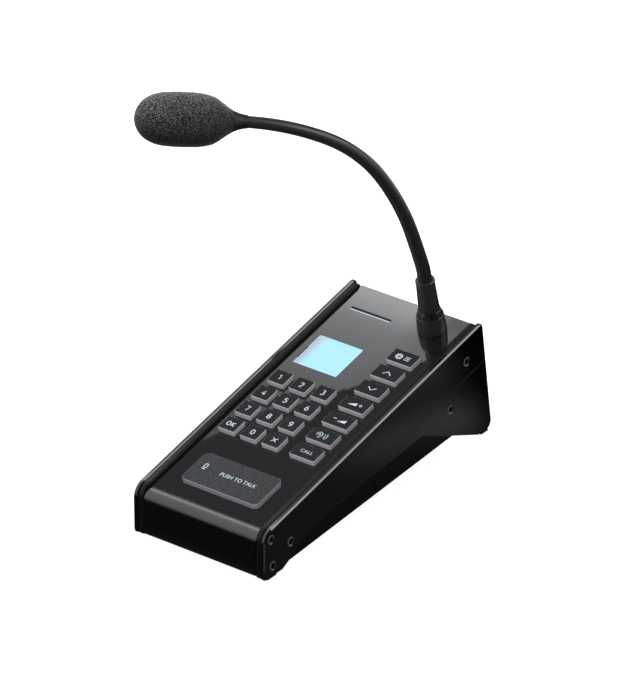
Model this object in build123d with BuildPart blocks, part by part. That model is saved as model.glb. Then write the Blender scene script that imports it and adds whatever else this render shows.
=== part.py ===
"""Desk paging console: sloping key deck between two side cheeks, with a gooseneck microphone.

Millimetres. The origin is the middle of the underside of the front foot strip, on the table.
+X is the operator's right, +Y points away from the operator, +Z is up.
"""
from math import cos, radians, sin, tan
import os

from build123d import *

os.makedirs("parts", exist_ok=True)

# --- driving dimensions -------------------------------------------------------------------
WIDTH = 115.0            # over the outer faces of the two cheeks
CHEEK_T = 3.5            # outer cheek plate
FRAME_T = 5.0            # side frame behind each cheek
TILT = 12.0              # slope of the deck, degrees
SEAM_Y, SEAM_Z = -7.0, 36.3      # front edge of the deck, world Y and Z
DECK_LENGTH = 255.0      # front edge to rear edge, along the slope
RAIL_RISE = 3.0          # cheeks and rails stand this far above the deck
FASCIA_T = 2.0           # gloss acrylic top sheet
PLATE_T = 2.0            # aluminium deck plate under the fascia
CHEEK_FRONT_Y = -15.0    # front edge of the cheeks
FACE_Y = -13.8           # front face of the nose profile
FOOT_Z = 0.8             # underside of the cheeks, on their rubber pads
TRAY_Z, TRAY_SLOPE = 2.4, 2.6    # underside of the bottom tray at the front, and its rise in degrees
SKIRT_Y, SKIRT_SLOPE = 12.0, 3.1 # the side frames' lower edge rises from here, in degrees
TRAY_T = 1.5
REAR_V = 249.0           # rear panel's inner face, along the slope
GAP = 0.2                # assembly gap between rigid pieces side by side

PITCH_U, PITCH_V = 19.0, 19.5    # key pitch across and along the deck
NUMBER_KEY = (14.3, 13.9)
FUNCTION_KEY = (22.0, 13.9)
TALK_KEY = (67.0, 32.0)
COLUMNS = (-36.0, -17.0, 2.0)    # number key columns
FUNCTION_U = 30.3
ROW_ONE_V = 138.3        # row 1 2 3, and the fourth function key
TALK_V = 31.6
KEY_RISE = 3.5           # key tops above the fascia
KEY_CLEAR = 0.35         # gap round a key in its opening
KEY_FLANGE = 1.2         # retaining flange, both its width and its thickness
KEY_TRAVEL = 1.2
BOARD_TOP = -11.0        # switch board's upper face, from the fascia's top
BOARD_T = 1.6

DISPLAY_U, DISPLAY_V = -22.2, 177.0
DISPLAY = (38.0, 34.3)
LIGHT_U, LIGHT_V = -22.6, 230.0
LIGHT = (35.5, 3.2)

NECK_U, NECK_V = 26.6, 236.8     # gooseneck socket on the deck
NECK_TURN = 35.0         # the neck's bend plane, degrees to the left of straight ahead
NECK_STRAIGHT = 48.8     # straight length above the fascia
NECK_ARCS = ((12.0, 7.5), (28.0, 1.4), (58.0, 14.7), (58.0, 26.6), (70.2, 18.2))  # length, turn
NECK_RADII = (5.05, 4.95, 4.75, 4.5, 4.15)    # one for each arc, thinner towards the microphone
BALL_R, BALL_CLEAR, STEM_R = 2.9, 0.3, 1.7
LINK_BELOW, LINK_ABOVE = 2.6, 1.0    # where a neck piece stops below a pivot and starts above it

HALF = WIDTH / 2
FRAME_X = HALF - CHEEK_T             # side frame's outer face
INNER_X = FRAME_X - FRAME_T          # side frame's inner face
DECK = Plane(origin=(0, SEAM_Y, SEAM_Z), x_dir=(1, 0, 0), z_dir=(0, -sin(radians(TILT)), cos(radians(TILT))))
PLATE_BOTTOM = -FASCIA_T - PLATE_T


def deck_yz(v, n):
    """World Y and Z of a point v along the deck and n above its surface."""
    point = DECK.from_local_coords(Vector(0, v, n))
    return point.Y, point.Z


def tray_z(y):
    """Height of the tray's underside at world Y."""
    return TRAY_Z + (y - FACE_Y) * tan(radians(TRAY_SLOPE))


def skirt_z(y):
    """Height of the side frames' lower edge at world Y."""
    return FOOT_Z + (y - SKIRT_Y) * tan(radians(SKIRT_SLOPE))


def finish(builder, label):
    """Name a finished piece and write it."""
    builder.part.label = label
    export_step(builder.part, f"parts/{label}.step")


def axis_plane(origin, direction, across):
    """Plane whose local y runs along direction, for profiles revolved about that line."""
    return Plane(origin=origin, x_dir=across, z_dir=Vector(*across).cross(Vector(*direction)))


# --- cheeks and side frames ---------------------------------------------------------------
CHEEK_SCREWS = ((-7.0, 31.5), (15.4, 19.6), (-5.2, 9.8), (205.3, 38.5), (224.3, 69.0))
CHEEK_OUTLINE = (  # world Y, Z and corner radius, round from the front foot
    (CHEEK_FRONT_Y, FOOT_Z, 3.0),
    (6.0, FOOT_Z, 2.0),
    (20.5, 7.6, 8.0),
    (29.0, 14.2, 5.0),
    (62.6, 21.3, 18.0),
    (170.5, 31.5, 14.0),
    (241.5, FOOT_Z, 5.0),
    (257.5, FOOT_Z, 6.5),
    (*deck_yz(257.0, RAIL_RISE), 4.0),
    (CHEEK_FRONT_Y, deck_yz(CHEEK_FRONT_Y - SEAM_Y, RAIL_RISE)[1] + 0.3, 12.0),
)
GROOVE_N = -28.7         # parting groove across each cheek, below the deck
GROOVE_W, GROOVE_D = 0.8, 0.5


def corners(outline):
    return [(y, z) for y, z, _ in outline]


def corner_radii(outline):
    return [radius for _, _, radius in outline]


def side_planes(x, places):
    return [Plane(origin=(x, y, z), x_dir=(0, 1, 0), z_dir=(1, 0, 0)) for y, z in places]


with BuildPart() as cheek_right:
    with BuildSketch(Plane.YZ.offset(FRAME_X)):
        with BuildLine():
            FilletPolyline(*corners(CHEEK_OUTLINE), radius=corner_radii(CHEEK_OUTLINE), close=True)
        make_face()
    extrude(amount=CHEEK_T)
    for place, cut in ((-1, 1.0), (0, 0.6)):
        rim = cheek_right.faces().sort_by(Axis.X)[place]
        chamfer(rim.outer_wire().edges(), length=cut)
    start, end = deck_yz(60.0, GROOVE_N), deck_yz(262.0, GROOVE_N)
    with BuildSketch(Plane.YZ.offset(HALF - GROOVE_D)):
        with BuildLine():
            Polyline(
                start, end, (end[0], end[1] - GROOVE_W), (start[0], start[1] - GROOVE_W), close=True
            )
        make_face()
    extrude(amount=GROOVE_D, mode=Mode.SUBTRACT)
    with Locations(*side_planes(HALF, CHEEK_SCREWS)):
        CounterSinkHole(radius=2.1, counter_sink_radius=3.8, counter_sink_angle=90)

FRAME_ROUND = 1.3        # rounding along the frame's long edges
FRAME_INSET = 0.8        # the frame's front and rear edges sit back from the cheek's
FRAME_OUTLINE = (
    (CHEEK_FRONT_Y + FRAME_INSET, FOOT_Z, 2.5),
    (SKIRT_Y, FOOT_Z, 20.0),
    (deck_yz(253.0, -76.0)[0], skirt_z(deck_yz(253.0, -76.0)[0]), 4.0),
    (*deck_yz(255.0, RAIL_RISE), 5.0),
    (CHEEK_FRONT_Y + FRAME_INSET, deck_yz(CHEEK_FRONT_Y - SEAM_Y, RAIL_RISE)[1] + 0.5, 11.2),
)
LEDGE_W = 1.8            # ledge that carries the deck plate
BASE_LEDGE_W, BASE_LEDGE_T = 7.0, 4.0    # ledge that the tray screws into
REAR_BOSS = (6.0, 5.0, 8.0)
REAR_BOSS_N = (-14.0, -58.0)
TRAY_SCREW_Y = (30.0, 200.0)
SCREW_R = 1.5            # shank of the tray and rear panel screws
RECESS = (106.0, 14.5, 27.0, 5.7, 0.8)   # label recess on the frame's outer face: Y, Z, length, height, depth

with BuildPart() as side_frame_right:
    with BuildSketch(Plane.YZ.offset(INNER_X)):
        with BuildLine():
            FilletPolyline(*corners(FRAME_OUTLINE), radius=corner_radii(FRAME_OUTLINE), close=True)
        make_face()
    extrude(amount=FRAME_T)
    for place in (0, -1):
        rim = side_frame_right.faces().sort_by(Axis.X)[place]
        fillet(rim.outer_wire().edges(), radius=FRAME_ROUND)
    with BuildSketch(Plane.YZ.offset(INNER_X)):
        with BuildLine():
            Polyline(
                deck_yz(11, PLATE_BOTTOM), deck_yz(248, PLATE_BOTTOM),
                deck_yz(248, PLATE_BOTTOM - 3), deck_yz(11, PLATE_BOTTOM - 3), close=True,
            )
        make_face()
    extrude(amount=-LEDGE_W)
    with BuildSketch(Plane.YZ.offset(INNER_X)):
        low, high = TRAY_T + 0.05, TRAY_T + BASE_LEDGE_T
        with BuildLine():
            Polyline(
                (14, tray_z(14) + low), (228, tray_z(228) + low),
                (228, tray_z(228) + high), (14, tray_z(14) + high), close=True,
            )
        make_face()
    extrude(amount=-BASE_LEDGE_W)
    for n in REAR_BOSS_N:
        with BuildSketch(DECK.offset(n)):
            with Locations((INNER_X - REAR_BOSS[0] / 2, REAR_V - REAR_BOSS[1] / 2)):
                Rectangle(REAR_BOSS[0], REAR_BOSS[1])
        extrude(amount=REAR_BOSS[2] / 2, both=True)
        with Locations(Plane(
            origin=DECK.from_local_coords(Vector(INNER_X - REAR_BOSS[0] / 2, REAR_V, n)),
            x_dir=(1, 0, 0), z_dir=DECK.y_dir,
        )):
            Hole(radius=SCREW_R + 0.05, depth=REAR_BOSS[1])
    for y in TRAY_SCREW_Y:
        with Locations((INNER_X - BASE_LEDGE_W / 2, y, tray_z(y) + TRAY_T + BASE_LEDGE_T)):
            Hole(radius=SCREW_R + 0.35, depth=BASE_LEDGE_T + 0.5)
    with Locations(*side_planes(FRAME_X, CHEEK_SCREWS)):
        Hole(radius=2.1, depth=FRAME_T)
    with BuildSketch(Plane.YZ.offset(FRAME_X - RECESS[4])):
        with Locations((RECESS[0], RECESS[1])):
            Rectangle(RECESS[2], RECESS[3])
    extrude(amount=RECESS[4], mode=Mode.SUBTRACT)

for builder, name in ((cheek_right, "cheek"), (side_frame_right, "side_frame")):
    with BuildPart() as left:
        add(builder.part)
        mirror(about=Plane.YZ, mode=Mode.REPLACE)
    finish(builder, f"{name}_right")
    finish(left, f"{name}_left")

# countersunk socket screws, five in each cheek
with BuildPart() as cheek_screws:
    for side in (1, -1):
        for y, z in CHEEK_SCREWS:
            head = Plane(origin=(side * HALF, y, z), x_dir=(0, 1, 0), z_dir=(side, 0, 0))
            with BuildSketch(axis_plane(head.origin, (-side, 0, 0), (0, 1, 0))):
                with BuildLine():
                    Polyline((0, 0), (2.4, 0), (3.45, 0.3), (1.95, 1.8), (1.95, 7.75), (0, 7.75), close=True)
                make_face()
            revolve(axis=Axis(head.origin, (side, 0, 0)))
            with BuildSketch(head):
                RegularPolygon(radius=1.5, side_count=6, major_radius=False)
            extrude(amount=-1.5, mode=Mode.SUBTRACT)
finish(cheek_screws, "cheek_screws")

# --- nose profile, deck plate and fascia --------------------------------------------------
SPAN = 2 * (INNER_X - GAP)       # clear width between the side frames
nose_c = deck_yz(0, -8.6)        # centre of the rounded nose
NOSE_R = 8.6
NOSE_WALL = 2.0
NOSE_END_Y = -5.6                # where its bottom flange meets the tray

with BuildPart() as nose_profile:
    with BuildSketch(Plane.YZ):
        with BuildLine():
            top = deck_yz(0, 0)
            front = (nose_c[0] - NOSE_R, nose_c[1])
            mid_angle = radians((90 + TILT + 180) / 2)
            middle = (nose_c[0] + NOSE_R * cos(mid_angle), nose_c[1] + NOSE_R * sin(mid_angle))
            ThreePointArc(top, middle, front)
            Polyline(
                front, (front[0], TRAY_Z), (NOSE_END_Y, TRAY_Z), (NOSE_END_Y, TRAY_Z + NOSE_WALL),
                (front[0] + NOSE_WALL, TRAY_Z + NOSE_WALL), (front[0] + NOSE_WALL, nose_c[1]),
            )
            inner_mid = (
                nose_c[0] + (NOSE_R - NOSE_WALL) * cos(mid_angle),
                nose_c[1] + (NOSE_R - NOSE_WALL) * sin(mid_angle),
            )
            inner_top = deck_yz(0, -NOSE_WALL)
            ThreePointArc((front[0] + NOSE_WALL, nose_c[1]), inner_mid, inner_top)
            Polyline(
                inner_top, deck_yz(0, PLATE_BOTTOM - 2), deck_yz(9, PLATE_BOTTOM - 2),
                deck_yz(9, PLATE_BOTTOM), deck_yz(0.6, PLATE_BOTTOM), deck_yz(0.6, -FASCIA_T + 0.2), top,
            )
        make_face()
    extrude(amount=SPAN / 2, both=True)
finish(nose_profile, "nose_profile")


def key_places():
    """Every key: node name, kind, centre across and centre along the deck."""
    rows = (("key_1", "key_2", "key_3"), ("key_4", "key_5", "key_6"), ("key_7", "key_8", "key_9"),
            ("key_ok", "key_0", "key_cancel"))
    for row, names in enumerate(rows):
        for column, name in enumerate(names):
            yield name, NUMBER_KEY, COLUMNS[column], ROW_ONE_V - row * PITCH_V
    functions = (
        "key_menu", "key_up", "key_down", "key_volume_up", "key_volume_down", "key_monitor", "key_call",
    )
    for row, name in enumerate(functions):
        yield name, FUNCTION_KEY, FUNCTION_U, ROW_ONE_V + (3 - row) * PITCH_V
    yield "key_talk", TALK_KEY, 0.0, TALK_V


KEYS = list(key_places())
TALK_SWITCH_U = (-20.0, 20.0)    # the wide talk key has a plunger near each end


def key_radius(size):
    return 4.5 if size == TALK_KEY else 1.2


def key_openings():
    """Clearance openings for every key, in the current sketch."""
    for _, size, u, v in KEYS:
        with Locations((u, v)):
            RectangleRounded(
                size[0] + 2 * KEY_CLEAR, size[1] + 2 * KEY_CLEAR, key_radius(size) + KEY_CLEAR,
                mode=Mode.SUBTRACT,
            )


WINDOW_LIP = 1.0         # the display window is this much larger than the fascia's opening
SOCKET_R = 8.0           # threaded bush of the gooseneck

with BuildPart() as fascia:
    with BuildSketch(DECK.offset(-FASCIA_T)):
        with Locations((0, (DECK_LENGTH + 0.9) / 2)):
            Rectangle(SPAN, DECK_LENGTH - 0.9)
        key_openings()
        with Locations((DISPLAY_U, DISPLAY_V)):
            RectangleRounded(*DISPLAY, 0.6, mode=Mode.SUBTRACT)
        with Locations((LIGHT_U, LIGHT_V)):
            RectangleRounded(*LIGHT, 0.6, mode=Mode.SUBTRACT)
        with Locations((NECK_U, NECK_V)):
            Circle(SOCKET_R + GAP, mode=Mode.SUBTRACT)
    extrude(amount=FASCIA_T)
    rim = fascia.faces().sort_by(Axis(DECK.origin, DECK.z_dir))[-1]
    chamfer(rim.outer_wire().edges(), length=0.4)
    slots = [wire for wire in rim.inner_wires() if LIGHT[0] < wire.bounding_box().size.X < DISPLAY[0] + 1]
    chamfer([edge for wire in slots for edge in wire.edges()], length=0.35)
finish(fascia, "fascia")

with BuildPart() as deck_plate:
    with BuildSketch(DECK.offset(PLATE_BOTTOM)):
        with Locations((0, (REAR_V - 0.5 + 1.0) / 2)):
            Rectangle(SPAN, REAR_V - 0.5 - 1.0)
        key_openings()
        with Locations((DISPLAY_U, DISPLAY_V)):
            Rectangle(
                DISPLAY[0] + 2 * WINDOW_LIP + GAP, DISPLAY[1] + 2 * WINDOW_LIP + GAP, mode=Mode.SUBTRACT
            )
        with Locations((LIGHT_U, LIGHT_V)):
            RectangleRounded(*LIGHT, 0.6, mode=Mode.SUBTRACT)
        with Locations((NECK_U, NECK_V)):
            Circle(SOCKET_R + GAP, mode=Mode.SUBTRACT)
    extrude(amount=PLATE_T)
finish(deck_plate, "deck_plate")

# --- keys: cap through the fascia, retaining flange under the deck plate, plunger -----------
FLANGE_TOP = PLATE_BOTTOM - 0.4
PLUNGER_R, PLUNGER_BOTTOM = 2.0, -7.6

for name, size, u, v in KEYS:
    with BuildPart() as key:
        with BuildSketch(DECK.offset(FLANGE_TOP)):
            with Locations((u, v)):
                RectangleRounded(*size, key_radius(size))
        extrude(amount=KEY_RISE - FLANGE_TOP)
        cap_top = key.faces().sort_by(Axis(DECK.origin, DECK.z_dir))[-1]
        chamfer(cap_top.outer_wire().edges(), length=0.35)
        with BuildSketch(DECK.offset(FLANGE_TOP - KEY_FLANGE)):
            with Locations((u, v)):
                RectangleRounded(
                    size[0] + 2 * KEY_FLANGE, size[1] + 2 * KEY_FLANGE, key_radius(size) + KEY_FLANGE
                )
        extrude(amount=KEY_FLANGE)
        plungers = TALK_SWITCH_U if size == TALK_KEY else (0.0,)
        with BuildSketch(DECK.offset(PLUNGER_BOTTOM)):
            with Locations(*[(u + shift, v) for shift in plungers]):
                Circle(PLUNGER_R)
        extrude(amount=FLANGE_TOP - KEY_FLANGE - PLUNGER_BOTTOM)
    finish(key, name)

# --- switch board, switches and standoffs under the deck ------------------------------------
SWITCH_PLACES = [(u, v) for _, size, u, v in KEYS if size != TALK_KEY]
SWITCH_PLACES += [(shift, TALK_V) for shift in TALK_SWITCH_U]
STANDOFFS = ((-43, 13), (43, 13), (-43, 60), (44.6, 60), (-43, 153), (44.6, 153), (-43, 203), (44.6, 203))
STANDOFF_R = 1.8

with BuildPart() as switch_board:
    with BuildSketch(DECK.offset(BOARD_TOP - BOARD_T)):
        with Locations((0, 105.5)):
            RectangleRounded(93.6, 201.0, 2.0)
    extrude(amount=BOARD_T)
finish(switch_board, "switch_board")

with BuildPart() as key_switches:
    with BuildSketch(DECK.offset(BOARD_TOP)):
        with Locations(*SWITCH_PLACES):
            Rectangle(6.0, 6.0)
    extrude(amount=1.5)
    with BuildSketch(DECK.offset(BOARD_TOP + 1.5)):
        with Locations(*SWITCH_PLACES):
            Circle(1.7)
    extrude(amount=0.4)
finish(key_switches, "key_switches")

with BuildPart() as board_standoffs:
    with BuildSketch(DECK.offset(BOARD_TOP)):
        with Locations(*STANDOFFS):
            Circle(STANDOFF_R)
    extrude(amount=PLATE_BOTTOM - BOARD_TOP)
finish(board_standoffs, "board_standoffs")

# --- display: window under the fascia, lit panel, holder; status light bar ------------------
with BuildPart() as display_window:
    with BuildSketch(DECK.offset(PLATE_BOTTOM)):
        with Locations((DISPLAY_U, DISPLAY_V)):
            Rectangle(DISPLAY[0] + 2 * WINDOW_LIP, DISPLAY[1] + 2 * WINDOW_LIP)
    extrude(amount=PLATE_T)
    with BuildSketch(DECK.offset(-FASCIA_T)):
        with Locations((DISPLAY_U, DISPLAY_V)):
            RectangleRounded(DISPLAY[0] - GAP, DISPLAY[1] - GAP, 0.5)
    extrude(amount=FASCIA_T - 0.1)
finish(display_window, "display_window")

with BuildPart() as display_panel:
    with BuildSketch(DECK.offset(-6.6)):
        with Locations((DISPLAY_U, DISPLAY_V)):
            Rectangle(DISPLAY[0] + 4, DISPLAY[1] + 4)
    extrude(amount=2.4)
finish(display_panel, "display_panel")

with BuildPart() as display_holder:
    with BuildSketch(DECK.offset(BOARD_TOP)):
        with Locations((DISPLAY_U, DISPLAY_V)):
            Rectangle(DISPLAY[0] + 8, DISPLAY[1] + 8)
    extrude(amount=PLATE_BOTTOM - BOARD_TOP)
    with BuildSketch(DECK.offset(-6.7)):
        with Locations((DISPLAY_U, DISPLAY_V)):
            Rectangle(DISPLAY[0] + 4.4, DISPLAY[1] + 4.4)
    extrude(amount=3.0, mode=Mode.SUBTRACT)
finish(display_holder, "display_holder")

with BuildPart() as status_light:
    with BuildSketch(DECK.offset(PLATE_BOTTOM - 1.5)):
        with Locations((LIGHT_U, LIGHT_V)):
            RectangleRounded(LIGHT[0] + 4, LIGHT[1] + 4, 0.8)
    extrude(amount=1.5)
    with BuildSketch(DECK.offset(PLATE_BOTTOM)):
        with Locations((LIGHT_U, LIGHT_V)):
            RectangleRounded(LIGHT[0] - GAP, LIGHT[1] - GAP, 0.5)
    extrude(amount=-0.1 - PLATE_BOTTOM)
finish(status_light, "status_light")

# --- bottom tray, rear panel, sockets, speaker and main board -------------------------------
TRAY = Plane(
    origin=(0, FACE_Y, TRAY_Z), x_dir=(1, 0, 0),
    z_dir=(0, -sin(radians(TRAY_SLOPE)), cos(radians(TRAY_SLOPE))),
)
TRAY_START, TRAY_END = 8.4, 266.8       # along the tray, from the nose profile to the rear panel
SPEAKER_AT = 120.0
SPEAKER_R = 25.0

with BuildPart() as bottom_tray:
    with BuildSketch(TRAY):
        with Locations((0, (TRAY_START + TRAY_END) / 2)):
            Rectangle(SPAN, TRAY_END - TRAY_START)
        with Locations((0, SPEAKER_AT)):
            with GridLocations(30, 6, 1, 7):
                SlotOverall(34, 2.6, mode=Mode.SUBTRACT)
    extrude(amount=TRAY_T)
    for y in TRAY_SCREW_Y:
        with Locations(*[(side * (INNER_X - BASE_LEDGE_W / 2), y, tray_z(y)) for side in (1, -1)]):
            Hole(radius=SCREW_R + 0.2)
finish(bottom_tray, "bottom_tray")

with BuildPart() as tray_screws:
    for y in TRAY_SCREW_Y:
        for side in (1, -1):
            base = TRAY.to_local_coords(Vector(side * (INNER_X - BASE_LEDGE_W / 2), y, tray_z(y)))
            with BuildSketch(TRAY):
                with Locations((base.X, base.Y)):
                    Circle(3.0)
            extrude(amount=-1.6)
            with BuildSketch(TRAY):
                with Locations((base.X, base.Y)):
                    Circle(SCREW_R)
            extrude(amount=TRAY_T + 3.5)
finish(tray_screws, "tray_screws")

REAR = Plane(
    origin=DECK.from_local_coords(Vector(0, REAR_V, 0)), x_dir=(-1, 0, 0), z_dir=DECK.y_dir,
)
REAR_T = 2.0
REAR_TOP, REAR_BOTTOM = -4.2, -73.4      # from the fascia's top, along the panel
SOCKETS = (("network_socket", -14.0), ("extension_socket", 14.0))
SOCKET_N = -36.0
SOCKET_BODY = (16.4, 14.0, 17.0)
SOCKET_MOUTH = (12.0, 8.6, 13.0)
LATCH = (6.2, 2.4)

with BuildPart() as rear_panel:
    with BuildSketch(REAR):
        with Locations((0, (REAR_TOP + REAR_BOTTOM) / 2)):
            Rectangle(SPAN, REAR_TOP - REAR_BOTTOM)
        with Locations(*[(x, SOCKET_N) for _, x in SOCKETS]):
            Rectangle(SOCKET_BODY[0] + GAP, SOCKET_BODY[1] + GAP, mode=Mode.SUBTRACT)
        with Locations(*[(s * (INNER_X - 3.0), n) for s in (1, -1) for n in REAR_BOSS_N]):
            Circle(SCREW_R + 0.2, mode=Mode.SUBTRACT)
    extrude(amount=REAR_T)
finish(rear_panel, "rear_panel")

for name, x in SOCKETS:
    with BuildPart() as jack:
        with BuildSketch(REAR.offset(REAR_T)):
            with Locations((x, SOCKET_N)):
                Rectangle(SOCKET_BODY[0], SOCKET_BODY[1])
        extrude(amount=-SOCKET_BODY[2])
        with BuildSketch(REAR.offset(REAR_T)):
            with Locations((x, SOCKET_N + 1.0)):
                Rectangle(SOCKET_MOUTH[0], SOCKET_MOUTH[1])
            with Locations((x, SOCKET_N + 1.0 - SOCKET_MOUTH[1] / 2 - LATCH[1] / 2)):
                Rectangle(LATCH[0], LATCH[1])
        extrude(amount=-SOCKET_MOUTH[2], mode=Mode.SUBTRACT)
    finish(jack, name)

with BuildPart() as rear_screws:
    places = [(s * (INNER_X - 3.0), n) for s in (1, -1) for n in REAR_BOSS_N]
    with BuildSketch(REAR.offset(REAR_T)):
        with Locations(*places):
            Circle(2.8)
    extrude(amount=1.4)
    with BuildSketch(REAR.offset(REAR_T)):
        with Locations(*places):
            Circle(SCREW_R)
    extrude(amount=-REAR_T - 4.5)
    with BuildSketch(REAR.offset(REAR_T + 1.4)):
        with Locations(*places):
            RegularPolygon(radius=1.0, side_count=6, major_radius=False)
    extrude(amount=-0.9, mode=Mode.SUBTRACT)
finish(rear_screws, "rear_screws")

with BuildPart() as speaker:
    with BuildSketch(TRAY.offset(TRAY_T)):
        with Locations((0, SPEAKER_AT)):
            Circle(SPEAKER_R)
            Circle(SPEAKER_R - 3.0, mode=Mode.SUBTRACT)
    extrude(amount=3.0)
    with BuildSketch(TRAY.offset(TRAY_T + 3.0)):
        with Locations((0, SPEAKER_AT)):
            Circle(SPEAKER_R - 1.0)
    extrude(amount=9.0, taper=32)
    with BuildSketch(TRAY.offset(TRAY_T + 12.0)):
        with Locations((0, SPEAKER_AT)):
            Circle(13.0)
    extrude(amount=7.0)
finish(speaker, "speaker")

MAIN_BOARD_AT, MAIN_BOARD_H = 196.0, 9.0
MAIN_BOARD = (78.0, 84.0)

with BuildPart() as main_board:
    with BuildSketch(TRAY.offset(MAIN_BOARD_H)):
        with Locations((0, MAIN_BOARD_AT)):
            RectangleRounded(*MAIN_BOARD, 2.0)
    extrude(amount=BOARD_T)
    with BuildSketch(TRAY.offset(TRAY_T)):
        with Locations((0, MAIN_BOARD_AT)):
            with GridLocations(MAIN_BOARD[0] - 8, MAIN_BOARD[1] - 8, 2, 2):
                Circle(2.5)
    extrude(amount=MAIN_BOARD_H - TRAY_T)
finish(main_board, "main_board")

CHIPS = ((-18, 180, 14, 14, 2.0), (14, 186, 10, 7, 2.2), (-4, 214, 18, 12, 3.5), (24, 210, 8, 8, 8.0))
with BuildPart() as board_chips:
    for u, v, length, depth, height in CHIPS:
        with BuildSketch(TRAY.offset(MAIN_BOARD_H + BOARD_T)):
            with Locations((u, v)):
                Rectangle(length, depth)
        extrude(amount=height)
finish(board_chips, "board_chips")

# --- feet ------------------------------------------------------------------------------------
STRIP = (80.0, 5.0)      # length across, half depth
with BuildPart() as foot_strip:
    with BuildSketch(Plane.YZ):
        with BuildLine():
            Polyline(
                (-STRIP[1], 0), (STRIP[1], 0), (STRIP[1], tray_z(STRIP[1])),
                (-STRIP[1], tray_z(-STRIP[1])), close=True,
            )
        make_face()
    extrude(amount=STRIP[0] / 2, both=True)
finish(foot_strip, "foot_strip")

with BuildPart() as foot_pads:
    for side in (1, -1):
        with BuildSketch(Plane.XY):
            with Locations((side * (INNER_X + HALF) / 2, -5.0)):
                RectangleRounded(7.0, 11.0, 1.0)
            with Locations((side * (HALF - CHEEK_T / 2), 248.5)):
                RectangleRounded(CHEEK_T - 0.2, 9.0, 0.8)
        extrude(amount=FOOT_Z)
finish(foot_pads, "foot_pads")

# --- gooseneck -------------------------------------------------------------------------------
turn = radians(NECK_TURN)
ahead = Vector(-sin(turn), -cos(turn), 0)
lateral = (ahead - DECK.z_dir * ahead.dot(DECK.z_dir)).normalized()
NECK = Plane(
    origin=DECK.from_local_coords(Vector(NECK_U, NECK_V, 0)), x_dir=lateral,
    z_dir=lateral.cross(DECK.z_dir),
)


def neck_stations():
    """Start of each arc along the neck: station, lateral place, height and lean in degrees."""
    station, x, y, lean = NECK_STRAIGHT, 0.0, NECK_STRAIGHT, 0.0
    yield station, x, y, lean
    for length, bend in NECK_ARCS:
        radius = length / radians(bend)
        x += radius * (cos(radians(lean)) - cos(radians(lean + bend)))
        y += radius * (sin(radians(lean + bend)) - sin(radians(lean)))
        station, lean = station + length, lean + bend
        yield station, x, y, lean


STATIONS = list(neck_stations())


def pivot(index):
    """World point and direction of the neck where arc number index starts."""
    _, x, y, lean = STATIONS[index]
    point = NECK.from_local_coords(Vector(x, y, 0))
    ahead_of = NECK.from_local_coords(Vector(x + sin(radians(lean)), y + cos(radians(lean)), 0))
    return point, ahead_of - point


def stem_plane(index):
    """Plane across the neck where a ball's stem leaves the piece below a pivot."""
    point, direction = pivot(index)
    return Plane(origin=point - direction * (LINK_BELOW + 0.5), z_dir=direction)


def neck_piece(name, index, start_cut, end_cut, ball):
    """One rigid length of the gooseneck along arc number index, with a ball socket at its start."""
    _, x, y, lean = STATIONS[index]
    length, bend = NECK_ARCS[index]
    radius = length / radians(bend)
    lean0 = lean + bend * start_cut / length
    size = bend * (length - start_cut - end_cut) / length
    x0 = x + radius * (cos(radians(lean)) - cos(radians(lean0)))
    y0 = y + radius * (sin(radians(lean0)) - sin(radians(lean)))
    with BuildPart() as piece:
        with BuildLine(NECK) as path:
            JernArc((x0, y0), (sin(radians(lean0)), cos(radians(lean0))), radius, -size)
        with BuildSketch(Plane(origin=path.line @ 0, z_dir=path.line % 0)):
            Circle(NECK_RADII[index])
        sweep(path=path.line)
        with Locations(pivot(index)[0]):
            Sphere(BALL_R + BALL_CLEAR, mode=Mode.SUBTRACT)
        if ball:
            with BuildSketch(stem_plane(index + 1)):
                Circle(STEM_R)
            extrude(amount=LINK_BELOW + 0.5)
            with Locations(pivot(index + 1)[0]):
                Sphere(BALL_R)
    finish(piece, name)


STUB_BOTTOM = -12.0
with BuildPart() as neck_stub:
    with BuildSketch(DECK.offset(STUB_BOTTOM)):
        with Locations((NECK_U, NECK_V)):
            Circle(SOCKET_R)
    extrude(amount=-STUB_BOTTOM)
    with BuildLine(NECK) as stub_path:
        Line((0, 0), (0, NECK_STRAIGHT))
        arc_length, arc_bend = NECK_ARCS[0]
        used = (arc_length - LINK_BELOW) / arc_length
        JernArc((0, NECK_STRAIGHT), (0, 1), arc_length / radians(arc_bend), -arc_bend * used)
    with BuildSketch(Plane(origin=NECK.origin, z_dir=DECK.z_dir)):
        Circle(NECK_RADII[0])
    sweep(path=stub_path.line)
    with BuildSketch(stem_plane(1)):
        Circle(STEM_R)
    extrude(amount=LINK_BELOW + 0.5)
    with Locations(pivot(1)[0]):
        Sphere(BALL_R)
finish(neck_stub, "neck_stub")

neck_piece("neck_link", 1, LINK_ABOVE, LINK_BELOW, True)
neck_piece("neck_lower", 2, LINK_ABOVE, LINK_BELOW, True)
neck_piece("neck_middle", 3, LINK_ABOVE, LINK_BELOW, True)
neck_piece("neck_upper", 4, LINK_ABOVE, 0.0, False)


def turned(name, plane, profile):
    """Piece revolved about the local y axis of a plane from radius and height points."""
    with BuildPart() as piece:
        with BuildSketch(plane):
            with BuildLine():
                Polyline(*profile, close=True)
            make_face()
        revolve(axis=Axis(plane.origin, plane.y_dir))
    finish(piece, name)


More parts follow.
